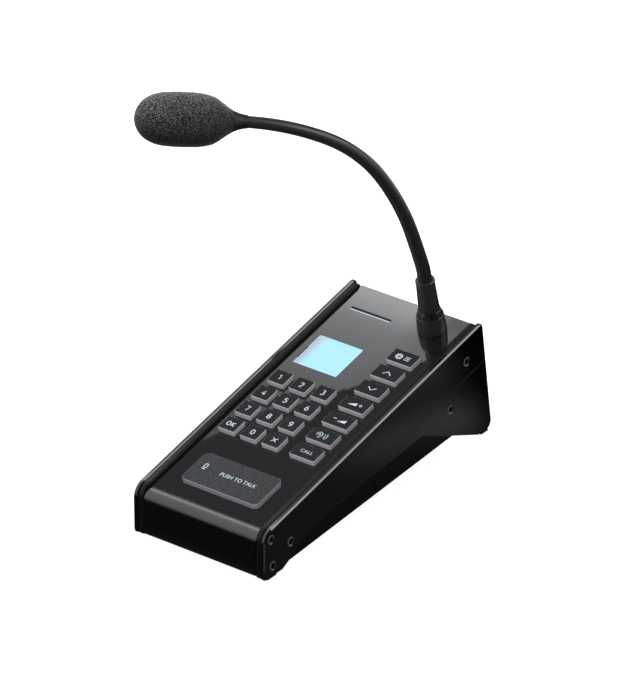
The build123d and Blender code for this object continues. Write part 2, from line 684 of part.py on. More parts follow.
BORE = NECK_RADII[0] + 0.05
NUT_R = 10.5
BOOT_H, RING_H = 13.6, 18.6      # top of the boot and of the ring above the fascia
SLEEVE_H = 45.0                  # top of the sleeve's lip
turned("neck_nut", NECK, (
    (SOCKET_R + 0.05, -10), (NUT_R, -10), (NUT_R, PLATE_BOTTOM), (SOCKET_R + 0.05, PLATE_BOTTOM),
))
turned("neck_ring", NECK, (
    (BORE, BOOT_H), (9.45, BOOT_H), (9.4, BOOT_H + 0.5), (8.4, RING_H - 0.6), (8.0, RING_H), (BORE, RING_H),
))
turned("neck_sleeve", NECK, (
    (BORE, RING_H), (7.7, RING_H), (7.7, RING_H + 0.8), (6.85, SLEEVE_H - 3.0), (7.05, SLEEVE_H - 2.6),
    (7.05, SLEEVE_H - 0.7), (6.5, SLEEVE_H), (BORE, SLEEVE_H),
))

with BuildPart() as neck_boot:
    with BuildSketch(NECK):
        with BuildLine():
            Polyline((9.65, BOOT_H), (BORE, BOOT_H), (BORE, 0.0), (10.4, 0.0), (10.7, 0.4))
            Spline((10.7, 0.4), (10.7, 3.0), (10.5, 6.5), (10.2, 10.0), (9.95, BOOT_H - 0.4))
            Line((9.95, BOOT_H - 0.4), (9.65, BOOT_H))
        make_face()
    revolve(axis=Axis(NECK.origin, NECK.y_dir))
finish(neck_boot, "neck_boot")

# --- microphone head ---------------------------------------------------------------------------
mic_point, mic_direction = pivot(5)
MIC = axis_plane(mic_point, mic_direction, NECK.z_dir)     # local y runs out along the microphone
COLLAR_START, COLLAR_END = -7.0, 5.6
TUBE_R, TUBE_START, TUBE_END = 5.2, 0.5, 58.0
CAPSULE_END = 63.0
UPPER_R = NECK_RADII[4] + 0.3      # loose enough for the neck's curve inside the collar

turned("mic_collar", MIC, (
    (UPPER_R, COLLAR_START), (4.75, COLLAR_START), (5.0, -5.0), (5.4, -3.0), (6.1, -0.3), (7.2, 2.6),
    (8.4, COLLAR_END - 0.6), (8.4, COLLAR_END), (TUBE_R + 0.05, COLLAR_END), (TUBE_R + 0.05, 0.3),
    (UPPER_R, 0.3),
))
turned("mic_tube", MIC, (
    (0, TUBE_START), (TUBE_R, TUBE_START), (TUBE_R, TUBE_END), (4.4, TUBE_END), (4.4, TUBE_START + 3),
    (0, TUBE_START + 3),
))
turned("mic_capsule", MIC, (
    (0, 52.0), (4.3, 52.0), (4.3, 58.05), (TUBE_R, 58.05), (TUBE_R, 61.5), (4.0, CAPSULE_END),
    (0, CAPSULE_END),
))

FOAM = (  # radius and place along the microphone
    (8.7, 5.7), (10.7, 8.9), (12.8, 12.0), (14.8, 15.2), (16.4, 18.2), (17.9, 23.5), (18.7, 30.5),
    (18.95, 41.0), (18.7, 51.5), (17.7, 58.5), (15.9, 64.0), (13.1, 68.5), (9.2, 72.0), (4.9, 74.2), (0.0, 75.0),
)
with BuildPart() as windscreen:
    with BuildSketch(MIC):
        with BuildLine():
            Polyline(
                (0, 75.0), (0, CAPSULE_END + 0.1), (TUBE_R + 0.1, CAPSULE_END + 0.1),
                (TUBE_R + 0.1, COLLAR_END + 0.1), FOAM[0],
            )
            Spline(*FOAM, tangents=((0.45, 0.89), (-1, 0)))
        make_face()
    revolve(axis=Axis(MIC.origin, MIC.y_dir))
finish(windscreen, "windscreen")
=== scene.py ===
"""Looks of the desk paging console: finishes, printed legends, the neck's sheath and the foam windscreen.

Metres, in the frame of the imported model. Sizes written in millimetres are turned to metres by MM.
"""

from math import cos, exp, pi, radians, sin, sqrt, tau

import bpy
from mathutils import Matrix, Vector, noise


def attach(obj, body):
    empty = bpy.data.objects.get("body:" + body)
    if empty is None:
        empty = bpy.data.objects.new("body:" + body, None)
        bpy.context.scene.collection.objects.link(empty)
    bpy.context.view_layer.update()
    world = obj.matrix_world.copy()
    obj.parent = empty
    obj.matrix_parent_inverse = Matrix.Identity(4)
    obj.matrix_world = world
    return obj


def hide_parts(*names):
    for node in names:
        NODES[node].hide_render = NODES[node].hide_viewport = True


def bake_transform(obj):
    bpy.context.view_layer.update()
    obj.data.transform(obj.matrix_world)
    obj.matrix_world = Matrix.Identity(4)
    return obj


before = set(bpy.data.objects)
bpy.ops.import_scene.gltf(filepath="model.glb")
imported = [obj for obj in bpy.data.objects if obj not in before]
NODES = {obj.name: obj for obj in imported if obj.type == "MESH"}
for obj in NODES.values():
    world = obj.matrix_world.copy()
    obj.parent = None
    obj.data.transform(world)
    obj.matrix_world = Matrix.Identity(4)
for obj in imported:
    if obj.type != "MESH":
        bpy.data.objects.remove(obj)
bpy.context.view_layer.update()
MM = 0.001

# --- where things are: the deck plane, the keys and the neck ----------------------------------
TILT = radians(12.0)
ACROSS = Vector((1, 0, 0))
ALONG = Vector((0, cos(TILT), sin(TILT)))
UPWARD = Vector((0, -sin(TILT), cos(TILT)))
SEAM = Vector((0, -7.0, 36.3)) * MM
KEY_RISE = 3.5                      # key tops above the deck
PITCH_V = 19.5
COLUMNS = (-36.0, -17.0, 2.0)       # number keys
FUNCTION_U = 30.3
ROW_ONE_V = 138.3                   # row 1 2 3
TALK_V = 31.6
DISPLAY_LEFT, DISPLAY_FADE = -41.2, 7.2      # left edge of the window, width of its greying
LIGHT_FRONT_V = 228.4               # front edge of the status light's slot

NECK_U, NECK_V = 26.6, 236.8
NECK_TURN = radians(35.0)
NECK_STRAIGHT = 48.8                # straight length above the deck, then arcs of a length and a turn
NECK_ARCS = ((12.0, 7.5), (28.0, 1.4), (58.0, 14.7), (58.0, 26.6), (70.2, 18.2))
MIC_STATION = NECK_STRAIGHT + sum(length for length, _ in NECK_ARCS)


def deck(u, v, n=0.0):
    """World point u across the deck, v along it and n above it, in millimetres."""
    return SEAM + (ACROSS * u + ALONG * v + UPWARD * n) * MM


def deck_matrix(u, v, n):
    """Places a drawing in millimetres, x across and y along the deck, at a point of the deck."""
    axes = Matrix((ACROSS, ALONG, UPWARD)).transposed().to_4x4()
    return Matrix.Translation(deck(u, v, n)) @ axes @ Matrix.Scale(MM, 4)


NECK_ROOT = deck(NECK_U, NECK_V)
heading = Vector((-sin(NECK_TURN), -cos(NECK_TURN), 0))
NECK_SIDE = (heading - UPWARD * heading.dot(UPWARD)).normalized()
NECK_NORMAL = NECK_SIDE.cross(UPWARD)


def neck_at(station):
    """Point and direction of the neck's centre line, a station in millimetres above the deck."""
    x, y, lean, start = 0.0, NECK_STRAIGHT, 0.0, NECK_STRAIGHT
    if station <= NECK_STRAIGHT:
        return NECK_ROOT + UPWARD * station * MM, UPWARD.copy()
    for length, bend in NECK_ARCS:
        run = min(length, station - start)
        radius = length / radians(bend)
        turned = lean + radians(bend) * run / length
        x += radius * (cos(lean) - cos(turned))
        y += radius * (sin(turned) - sin(lean))
        start, lean = start + run, turned
        if run < length:
            break
    x += (station - start) * sin(lean)
    y += (station - start) * cos(lean)
    point = NECK_ROOT + (NECK_SIDE * x + UPWARD * y) * MM
    return point, NECK_SIDE * sin(lean) + UPWARD * cos(lean)


# --- material helpers ---------------------------------------------------------------------------
def linear(code):
    """Linear RGBA of an sRGB hex colour."""
    channels = [int(code[i:i + 2], 16) / 255 for i in (1, 3, 5)]
    return [c / 12.92 if c <= 0.04045 else ((c + 0.055) / 1.055) ** 2.4 for c in channels] + [1.0]


def add(tree, kind, inputs=None, **settings):
    """Add a node with its settings, and set or link its inputs."""
    made = tree.nodes.new(kind)
    for key, value in settings.items():
        setattr(made, key, value)
    for socket, value in (inputs or {}).items():
        if isinstance(value, bpy.types.NodeSocket):
            tree.links.new(value, made.inputs[socket])
        else:
            made.inputs[socket].default_value = value
    return made


def material(name, **inputs):
    """New material with one Principled shader. Returns the material, its tree and the shader."""
    made = bpy.data.materials.new(name)
    made.use_nodes = True
    tree = made.node_tree
    tree.nodes.clear()
    shader = add(tree, "ShaderNodeBsdfPrincipled", {k.replace("_", " "): v for k, v in inputs.items()})
    add(tree, "ShaderNodeOutputMaterial", {"Surface": shader.outputs[0]})
    return made, tree, shader


def set_link(tree, output, shader, socket):
    tree.links.new(output, shader.inputs[socket])


def grain(tree, size_mm, detail=2.0, stretch=(1, 1, 1)):
    """Noise of a grain size in millimetres, in the object's own space."""
    space = add(tree, "ShaderNodeTexCoord")
    mapping = add(tree, "ShaderNodeMapping", {"Vector": space.outputs["Object"], "Scale": stretch})
    return add(tree, "ShaderNodeTexNoise",
               {"Vector": mapping.outputs[0], "Scale": 1 / (size_mm * MM), "Detail": detail})


def moulded(name, colour, light, roughness, spread, size_mm, depth_mm, **inputs):
    """A moulded or coated finish: fine grain in the colour and the relief, broad patches in the gloss.

    Real mould grain is a tenth of a millimetre, too fine to show, so it is drawn at 0.5 mm or more.
    """
    made, tree, shader = material(name, **inputs)
    fine = grain(tree, size_mm)
    broad = grain(tree, 22.0, 3.0)
    tint = add(tree, "ShaderNodeMix", {
        0: fine.outputs[0], 6: linear(colour), 7: linear(light)}, data_type="RGBA")
    set_link(tree, tint.outputs[2], shader, "Base Color")
    gloss = add(tree, "ShaderNodeMapRange", {
        "Value": broad.outputs[0], "From Min": 0.3, "From Max": 0.7,
        "To Min": roughness - spread, "To Max": roughness + spread})
    set_link(tree, gloss.outputs[0], shader, "Roughness")
    relief = add(tree, "ShaderNodeBump", {
        "Height": fine.outputs[0], "Strength": 1.0, "Distance": depth_mm * MM})
    set_link(tree, relief.outputs[0], shader, "Normal")
    return made


# --- finishes -------------------------------------------------------------------------------------
# Cast black acrylic with a hard coat, polished: a deep mirror, with the faintest haze from wiping.
black_acrylic = moulded("black_acrylic", "#161618", "#1a1a1c", 0.012, 0.008, 6.0, 0.0001, IOR=1.75)

# Injection-moulded ABS from a polished tool: nearly black, with soft mirror patches and crisp bright edges.
cheek_abs = moulded("polished_abs", "#070708", "#0a0a0b", 0.11, 0.02, 0.5, 0.0004, IOR=1.53)

# The same plastic in the inner frames, from a blasted tool: duller, so that the ridges stay quiet
# beside the cheeks.
frame_abs = moulded("blasted_abs", "#111112", "#161617", 0.25, 0.02, 0.5, 0.0015, IOR=1.53,
                    Specular_IOR_Level=0.09)

# Extruded aluminium, brushed lengthwise and anodised black: streaks run along the extrusion, under the
# clear film's own gleam.
nose_metal, tree, shader = material("black_anodised_aluminium", Specular_IOR_Level=0.70)
streak = grain(tree, 1.0, 3.0, (0.012, 1.0, 1.0))
tone = add(tree, "ShaderNodeMix", {
    0: streak.outputs[0], 6: linear("#060607"), 7: linear("#0c0c0d")}, data_type="RGBA")
set_link(tree, tone.outputs[2], shader, "Base Color")
gloss = add(tree, "ShaderNodeMapRange", {"Value": streak.outputs[0], "To Min": 0.18, "To Max": 0.30})
set_link(tree, gloss.outputs[0], shader, "Roughness")
relief = add(tree, "ShaderNodeBump", {"Height": streak.outputs[0], "Strength": 0.6, "Distance": 0.006 * MM})
set_link(tree, relief.outputs[0], shader, "Normal")

# Mill-finish aluminium of the deck plate, the microphone tube and the capsule: a soft silvery sheen.
mill_aluminium = moulded("mill_aluminium", "#a9abae", "#c3c5c8", 0.38, 0.05, 1.2, 0.004, Metallic=1.0)

# Turned brass of the nut and the standoffs: warm yellow, with the dull gleam of fine tool marks.
turned_brass = moulded("turned_brass", "#b08d4a", "#c7a763", 0.30, 0.05, 1.0, 0.004, Metallic=1.0)

# Powder-coated steel: a fine orange-peel skin on the tray and the rear panel.
powder_coat = moulded("black_powder_coat", "#111112", "#1a1a1b", 0.52, 0.04, 0.9, 0.03)

# Black-oxide steel of the tray's and the rear panel's screws: a little lighter than the panel round them.
black_oxide = moulded("black_oxide_steel", "#3a3a3c", "#4c4c4f", 0.36, 0.05, 0.6, 0.004, Metallic=0.85)

# The cheek screws, black oxide with a painted highlight on their bevelled rims: a pale ring round a dark
# head.
screw_rim_highlight, tree, shader = material("black_oxide_painted_rim", Roughness=0.45, Specular_IOR_Level=0.3)
space = add(tree, "ShaderNodeTexCoord")
turned_to = add(tree, "ShaderNodeSeparateXYZ", {"Vector": space.outputs["Normal"]})
flat = add(tree, "ShaderNodeMath", {0: turned_to.outputs["X"]}, operation="ABSOLUTE")
RIM_SLOPE, RIM_SPREAD = 0.96, 0.025      # how squarely the bevel faces outwards
# painted highlight: the bevel that faces squarely outwards is coloured pale, the rest of the head dark
painted_rim_mask = add(tree, "ShaderNodeMath", {0: flat.outputs[0], 1: RIM_SLOPE, 2: RIM_SPREAD}, operation="COMPARE")
rim_grain = grain(tree, 0.8, 3.0)
rim_highlight_tone = add(tree, "ShaderNodeMix", {
    0: rim_grain.outputs[0], 6: linear("#4a4a4c"), 7: linear("#6c6c6e")}, data_type="RGBA")
tone = add(tree, "ShaderNodeMix", {
    0: painted_rim_mask.outputs[0], 6: linear("#0a0a0b"), 7: rim_highlight_tone.outputs[2]}, data_type="RGBA")
set_link(tree, tone.outputs[2], shader, "Base Color")

# Glass-filled nylon of sockets, switches and chips: flat black, with a dry, even skin.
socket_nylon = moulded("black_nylon", "#101011", "#1b1b1c", 0.5, 0.05, 0.8, 0.01)

# Soft rubber of the feet: dull black that takes almost no light.
foot_rubber = moulded("foot_rubber", "#0e0e0e", "#1b1b1b", 0.75, 0.05, 0.6, 0.03)

# Moulded rubber of the boot and the long sleeve: satin, slightly waxy.
boot_rubber = moulded("satin_rubber", "#212122", "#2b2b2c", 0.40, 0.05, 0.7, 0.008, IOR=1.52)

# Moulded rubber of the microphone collar: matt, a shade darker than the foam in front of it.
collar_rubber = moulded("matt_rubber", "#0c0c0d", "#141415", 0.5, 0.05, 0.7, 0.008, IOR=1.40)

# Shrunk sheath over the spiral neck: satin, with the faint unevenness of the coils beneath.
neck_sheath = moulded("neck_sheath", "#19191a", "#222223", 0.38, 0.05, 1.4, 0.02, IOR=1.52)

# Lacquered ring under the sleeve: glossier than the rubber, so that it reads as a dark shining band.
ring_lacquer = moulded("black_lacquer", "#0b0b0c", "#121213", 0.22, 0.03, 0.8, 0.003, IOR=1.55)

# Pressed paper of the loudspeaker: brownish black and fibrous.
speaker_paper = moulded("speaker_paper", "#1c1b1a", "#2a2927", 0.8, 0.04, 0.5, 0.04)

# Green solder mask with lighter copper runs under it.
board_mask, tree, shader = material("solder_mask", Roughness=0.35)
space = add(tree, "ShaderNodeTexCoord")
runs = add(tree, "ShaderNodeTexBrick", {
    "Vector": space.outputs["Object"], "Color1": linear("#0d3a1f"), "Color2": linear("#124a28"),
    "Mortar": linear("#2c6a3c"), "Scale": 1 / (9 * MM), "Mortar Size": 0.04})
set_link(tree, runs.outputs[0], shader, "Base Color")

# Clear acrylic of the display window: the lit panel shows through, under a clean gloss.
clear_window, tree, shader = material("clear_acrylic", IOR=1.49, Transmission_Weight=1.0)
haze = grain(tree, 15.0)
gloss = add(tree, "ShaderNodeMapRange", {"Value": haze.outputs[0], "To Min": 0.0, "To Max": 0.02})
set_link(tree, gloss.outputs[0], shader, "Roughness")

# Smoked acrylic of the status light: idle and dark, with a painted highlight along its front edge, drawn as
# glow.
smoked_bar, tree, shader = material("smoked_acrylic", IOR=1.49, Base_Color=linear("#0e0f11"), Roughness=0.3,
                                    Specular_IOR_Level=0.12, Emission_Strength=1.0)
space = add(tree, "ShaderNodeTexCoord")
along = add(tree, "ShaderNodeVectorMath", {0: space.outputs["Object"], 1: ALONG}, operation="DOT_PRODUCT")
LIGHT_FRONT = SEAM.dot(ALONG) + LIGHT_FRONT_V * MM
# painted highlight: a thin glowing strip along the bar's front edge
painted_edge_glint = add(tree, "ShaderNodeMapRange", {
    "Value": along.outputs["Value"], "From Min": LIGHT_FRONT + 0.6 * MM, "From Max": LIGHT_FRONT + 1.1 * MM,
    "To Min": 1.0, "To Max": 0.0})
glow = add(tree, "ShaderNodeMix", {
    0: painted_edge_glint.outputs[0], 6: (0, 0, 0, 1), 7: linear("#d5edf7")}, data_type="RGBA")
set_link(tree, glow.outputs[2], shader, "Emission Color")

# Printed legends: opaque white ink, slightly chalky.
white_ink = moulded("white_ink", "#c3d6de", "#d3e2e9", 0.55, 0.04, 0.5, 0.003, Specular_IOR_Level=0.2)

# Lit liquid-crystal panel: pale cyan, greying over its leftmost few millimetres.
lit_panel, tree, shader = material("backlit_panel", Base_Color=(0, 0, 0, 1), Roughness=0.5,
                                   Specular_IOR_Level=0.0, Emission_Strength=1.27)
space = add(tree, "ShaderNodeTexCoord")
place = add(tree, "ShaderNodeSeparateXYZ", {"Vector": space.outputs["Object"]})
edge = add(tree, "ShaderNodeMapRange", {
    "Value": place.outputs["X"],
    "From Min": DISPLAY_LEFT * MM, "From Max": (DISPLAY_LEFT + DISPLAY_FADE) * MM},
    interpolation_type="SMOOTHSTEP")
pixels = grain(tree, 0.8)
tone = add(tree, "ShaderNodeMix", {
    0: edge.outputs[0], 6: linear("#b2cadb"), 7: linear("#aef0ff")}, data_type="RGBA")
speck = add(tree, "ShaderNodeMapRange", {"Value": pixels.outputs[0], "To Min": 0.97, "To Max": 1.03})
lit = add(tree, "ShaderNodeMix", {
    0: 1.0, 6: tone.outputs[2], 7: speck.outputs[0]}, data_type="RGBA", blend_type="MULTIPLY")
set_link(tree, lit.outputs[2], shader, "Emission Color")


def key_finish(name, top, top_light, side, side_light, roughness, gleam, size_mm, depth_mm):
    """Moulded key: a printed, finely grained top over paler translucent side walls."""
    made, tree, shader = material(name, IOR=1.45, Specular_IOR_Level=gleam)
    space = add(tree, "ShaderNodeTexCoord")
    facing = add(tree, "ShaderNodeVectorMath", {
        0: space.outputs["Normal"], 1: UPWARD}, operation="DOT_PRODUCT")
    printed = add(tree, "ShaderNodeMath", {0: facing.outputs["Value"], 1: 0.94}, operation="GREATER_THAN")
    fine = grain(tree, size_mm, 1.0)
    speckle = add(tree, "ShaderNodeMapRange", {"Value": fine.outputs[0], "From Min": 0.35, "From Max": 0.65})
    upper = add(tree, "ShaderNodeMix", {
        0: speckle.outputs[0], 6: linear(top), 7: linear(top_light)}, data_type="RGBA")
    lower = add(tree, "ShaderNodeMix", {
        0: speckle.outputs[0], 6: linear(side), 7: linear(side_light)}, data_type="RGBA")
    both = add(tree, "ShaderNodeMix", {
        0: printed.outputs[0], 6: lower.outputs[2], 7: upper.outputs[2]}, data_type="RGBA")
    set_link(tree, both.outputs[2], shader, "Base Color")
    gloss = add(tree, "ShaderNodeMapRange", {
        "Value": fine.outputs[0], "To Min": roughness - 0.1, "To Max": roughness + 0.1})
    set_link(tree, gloss.outputs[0], shader, "Roughness")
    relief = add(tree, "ShaderNodeBump", {
        "Height": fine.outputs[0], "Strength": 1.0, "Distance": depth_mm * MM})
    set_link(tree, relief.outputs[0], shader, "Normal")
    return made


# Moulded polycarbonate keys: satin black print on top, milky grey walls.
key_cap = key_finish("printed_key", "#171718", "#2b2b2c", "#aeabae", "#b6b3b6", 0.55, 0.08, 0.7, 0.02)
# Silicone talk key: charcoal, with a coarser grain that gives the finger grip.
talk_cap = key_finish("grained_silicone", "#2a2a2c", "#444446", "#8b8b8e", "#949497", 0.6, 0.12, 0.9, 0.04)

# Open-cell foam: dark pores between lighter cell walls about a millimetre across, with painted light on its
# upper side and painted shade underneath, and a soft bloom where it is seen edge on.
foam, tree, shader = material("open_cell_foam", Roughness=0.95, IOR=1.35, Sheen_Weight=0.3,
                              Sheen_Roughness=0.3, Sheen_Tint=linear("#cfd6dc"))
cells = grain(tree, 0.8, 4.0)
pores = add(tree, "ShaderNodeMapRange", {"Value": cells.outputs[0], "From Min": 0.45, "From Max": 0.60})
tone = add(tree, "ShaderNodeMix", {
    0: pores.outputs[0], 6: linear("#050505"), 7: linear("#858587")}, data_type="RGBA")
space = add(tree, "ShaderNodeTexCoord")
turned_to = add(tree, "ShaderNodeSeparateXYZ", {"Vector": space.outputs["Normal"]})
# painted light and shade: the colour is lighter on upward faces and almost black on downward ones
painted_top_light = add(tree, "ShaderNodeMapRange", {
    "Value": turned_to.outputs["Z"], "From Min": -0.7, "From Max": 1.0, "To Min": 0.03, "To Max": 0.85})
foam_with_painted_shade = add(tree, "ShaderNodeMix", {
    0: 1.0, 6: tone.outputs[2], 7: painted_top_light.outputs[0]}, data_type="RGBA", blend_type="MULTIPLY")
set_link(tree, foam_with_painted_shade.outputs[2], shader, "Base Color")
relief = add(tree, "ShaderNodeBump", {"Height": cells.outputs[0], "Strength": 1.0, "Distance": 0.5 * MM})
set_link(tree, relief.outputs[0], shader, "Normal")

FINISH = {
    black_acrylic: ("fascia",),
    cheek_abs: ("cheek_left", "cheek_right"),
    frame_abs: ("side_frame_left", "side_frame_right"),
    nose_metal: ("nose_profile",),
    mill_aluminium: ("deck_plate", "mic_tube", "mic_capsule"),
    turned_brass: ("neck_nut", "board_standoffs"),
    powder_coat: ("bottom_tray", "rear_panel"),
    screw_rim_highlight: ("cheek_screws",),
    black_oxide: ("tray_screws", "rear_screws"),
    socket_nylon: ("network_socket", "extension_socket", "key_switches", "board_chips", "display_holder"),
    foot_rubber: ("foot_pads", "foot_strip"),
    boot_rubber: ("neck_boot", "neck_sleeve"),
    collar_rubber: ("mic_collar",),
    neck_sheath: ("neck_stub", "neck_link", "neck_lower", "neck_middle", "neck_upper"),
    ring_lacquer: ("neck_ring",),
    speaker_paper: ("speaker",),
    board_mask: ("switch_board", "main_board"),
    clear_window: ("display_window",),
    lit_panel: ("display_panel",),
    smoked_bar: ("status_light",),
    talk_cap: ("key_talk",),
    foam: ("windscreen",),
    key_cap: tuple(name for name in NODES
                   if name.startswith("key_") and name not in ("key_switches", "key_talk")),
}
for finish, names in FINISH.items():
    for name in names:
        NODES[name].data.materials.clear()
        NODES[name].data.materials.append(finish)


# --- printed legends --------------------------------------------------------------------------------
def piece(name, mesh, finish, body):
    """Link a finished mesh into the scene, with its material, riding on its body."""
    mesh.materials.clear()
    mesh.materials.append(finish)
    made = bpy.data.objects.new(name, mesh)
    bpy.context.scene.collection.objects.link(made)
    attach(made, body)
    return made


def curve_mesh(curve, name):
    """Mesh of a curve or text, which is then removed."""
    holder = bpy.data.objects.new(name, curve)
    bpy.context.scene.collection.objects.link(holder)
    depsgraph = bpy.context.evaluated_depsgraph_get()
    mesh = bpy.data.meshes.new_from_object(holder.evaluated_get(depsgraph))
    bpy.data.objects.remove(holder)
    return mesh


def spread(mesh):
    """Lowest and highest corner of a flat drawing."""
    xs, ys = [v.co.x for v in mesh.vertices], [v.co.y for v in mesh.vertices]
    return min(xs), max(xs), min(ys), max(ys)


INK = 0.05   # millimetres of ink standing on a key


def lettering(text, height, wide=1.0):
    """Text as a flat mesh in millimetres, centred, with capitals of the given height."""
    curve = bpy.data.curves.new("legend", "FONT")
    curve.body, curve.extrude, curve.resolution_u = text, 0.02, 5
    mesh = curve_mesh(curve, "legend")
    x0, x1, y0, y1 = spread(mesh)
    factor = height / (y1 - y0)
    for vertex in mesh.vertices:
        x, y, z = vertex.co
        vertex.co = ((x - (x0 + x1) / 2) * factor * wide, (y - (y0 + y1) / 2) * factor, INK if z > 0 else 0.0)
    return mesh


def strokes(paths, width):
    """Open or closed strokes drawn with a round pen, as a flat mesh in millimetres."""
    curve = bpy.data.curves.new("strokes", "CURVE")
    curve.dimensions, curve.use_fill_caps = "3D", True
    curve.bevel_depth, curve.bevel_resolution = width / 2, 3
    for points in paths:
        closed = points[0] == points[-1]
        points = points[:-1] if closed else points
        spline = curve.splines.new("POLY")
        spline.points.add(len(points) - 1)
        for target, (x, y) in zip(spline.points, points):
            target.co = (x, y, 0, 1)
        spline.use_cyclic_u = closed
    mesh = curve_mesh(curve, "strokes")
    for vertex in mesh.vertices:
        vertex.co.z = (vertex.co.z / (width / 2) + 1) / 2 * INK
    return mesh


def plates(outlines):
    """Solid flat shapes from their outlines, in millimetres."""
    vertices, faces = [], []
    for outline in outlines:
        start, count = len(vertices), len(outline)
        vertices += [(x, y, 0) for x, y in outline] + [(x, y, INK) for x, y in outline]
        faces.append(tuple(range(start + count, start + 2 * count)))
        faces.append(tuple(range(start + count - 1, start - 1, -1)))
        for i in range(count):
            j = (i + 1) % count
            faces.append((start + i, start + j, start + count + j, start + count + i))
    mesh = bpy.data.meshes.new("plates")
    mesh.from_pydata(vertices, [], faces)
    return mesh


def ring(x, y, radius, start=0.0, end=tau, count=28):
    """Points of an arc; a full circle ends on its first point."""
    points = [(round(x + radius * cos(start + (end - start) * i / count), 5),
               round(y + radius * sin(start + (end - start) * i / count), 5)) for i in range(count + 1)]
    if end - start == tau:
        points[-1] = points[0]
    return points


def legend(name, mesh, key, u, v):
    """Stand a drawing on a key's top."""
    mesh.transform(deck_matrix(u, v, KEY_RISE))
    mesh.update()
    return piece(name, mesh, white_ink, key)


def oval(x, y, wide, high, start=0.0, end=tau):
    """Points of an elliptic arc, angles counted from +x."""
    return [(x + wide * px, y + high * py) for px, py in ring(0, 0, 1.0, start, end)]


def arc_between(x, y, wide, high, start, end):
    return oval(x, y, wide, high, radians(start), radians(end))


SIX = (oval(0, -0.95, 1.2, 1.35), [(-1.2, -0.95)] + arc_between(0.9, -0.9, 2.1, 3.2, 175, 100))
PEN_SHAPES = {  # pen strokes about 2.4 mm wide and 4.6 mm high, in millimetres
    "0": (oval(0, 0, 1.3, 2.3),),
    "1": ([(-1.0, 1.3), (0.35, 2.3), (0.35, -2.3)],),
    "2": (arc_between(-0.05, 1.05, 1.15, 1.25, 160, -35) + [(-1.25, -2.3), (1.3, -2.3)],),
    "3": (arc_between(-0.15, 1.2, 1.15, 1.1, 140, -90), arc_between(-0.15, -1.1, 1.35, 1.2, 90, -140)),
    "4": ([(0.55, -2.3), (0.55, 2.3), (-1.4, -0.95), (1.45, -0.95)],),
    "5": ([(1.1, 2.3), (-0.85, 2.3), (-1.0, 0.3)] + arc_between(-0.15, -0.85, 1.35, 1.45, 115, -140),),
    "6": SIX,
    "7": ([(-1.3, 2.3), (1.3, 2.3), (-0.35, -2.3)],),
    "8": (oval(0, 1.2, 1.05, 1.1), oval(0, -1.1, 1.3, 1.2)),
    "9": tuple([(-x, -y) for x, y in stroke] for stroke in SIX),
    "ok": (oval(-2.1, 0, 1.45, 1.95), [(0.7, 1.95), (0.7, -1.95)], [(3.0, 1.95), (0.8, 0.0), (3.2, -1.95)]),
    "cancel": ([(-2.0, -2.0), (2.0, 2.0)], [(-2.0, 2.0), (2.0, -2.0)]),
}
for row, names in enumerate((("1", "2", "3"), ("4", "5", "6"), ("7", "8", "9"), ("ok", "0", "cancel"))):
    for column, label in enumerate(names):
        drawing = strokes(PEN_SHAPES[label], 0.75)
        legend(f"legend_{label}", drawing, f"key_{label}", COLUMNS[column], ROW_ONE_V - row * PITCH_V)


def function_v(number):
    """Place along the deck of function key 1 to 7."""
    return ROW_ONE_V + (4 - number) * PITCH_V


wheel = [ring(-3.6, 0, 1.35), ring(-3.6, 0, 2.35)]
wheel += [((-3.6 + 2.4 * cos(i * tau / 8), 2.4 * sin(i * tau / 8)),
           (-3.6 + 3.1 * cos(i * tau / 8), 3.1 * sin(i * tau / 8))) for i in range(8)]
lines = [((1.2, y), (5.6, y)) for y in (-1.7, 0.0, 1.7)]
legend("legend_menu", strokes(wheel + lines, 0.65), "key_menu", FUNCTION_U, function_v(1))
chevron = ((-3.3, -1.5), (0.0, 1.6), (3.3, -1.5))
legend("legend_up", strokes((chevron,), 0.8), "key_up", FUNCTION_U, function_v(2))
chevron = tuple((x, -y) for x, y in chevron)
legend("legend_down", strokes((chevron,), 0.8), "key_down", FUNCTION_U, function_v(3))
wedge = ((-5.4, -1.6), (1.6, -1.6), (1.6, 1.7))
legend("legend_volume_up", plates((wedge,)), "key_volume_up", FUNCTION_U - 0.4, function_v(4))
plus = (((3.0, 0.2), (5.8, 0.2)), ((4.4, -1.2), (4.4, 1.6)))
legend("legend_plus", strokes(plus, 0.65), "key_volume_up", FUNCTION_U, function_v(4))
wedge = ((-1.4, -1.6), (5.6, -1.6), (5.6, 1.7))
legend("legend_volume_down", plates((wedge,)), "key_volume_down", FUNCTION_U, function_v(5))
minus = (((-5.4, 0.6), (-2.6, 0.6)),)
legend("legend_minus", strokes(minus, 0.65), "key_volume_down", FUNCTION_U, function_v(5))
ear = [ring(-2.6, 0.5, 2.3, radians(-40), radians(220)), ring(-2.6, 0.3, 0.8),
       ((-0.9, -1.1), (-1.9, -2.7), (-3.0, -2.8))]
waves = [ring(-1.2, 0.0, radius, radians(-38), radians(38), 8) for radius in (3.2, 5.0)]
legend("legend_monitor", strokes(ear + waves, 0.5), "key_monitor", FUNCTION_U - 0.6, function_v(6))
legend("legend_call", lettering("CALL", 3.0, 1.05), "key_call", FUNCTION_U, function_v(7))

microphone = [ring(0, 1.3, 1.15, 0, pi, 10) + ring(0, -0.9, 1.15, pi, tau, 10) + [(1.15, 1.3)],
              ((-1.6, -3.2), (1.6, -3.2))]
microphone[0][-1] = microphone[0][0]
legend("legend_microphone", strokes(microphone, 0.6), "key_talk", -24.4, TALK_V + 2.6)
legend("legend_talk", lettering("PUSH TO TALK", 3.5, 0.92), "key_talk", 5.6, TALK_V + 0.6)


# --- neck sheath, one piece over each bend --------------------------------------------------------------
def neck_radius(station):
    """Outside radius of the sheath, thinner towards the microphone."""
    share = min(max((station - NECK_STRAIGHT) / (MIC_STATION - NECK_STRAIGHT), 0), 1)
    return 5.13 - 0.9 * share ** 1.1


COIL_SWELL, COIL_PITCH = 0.018, 2.2      # the coils beneath show as a very slight waviness


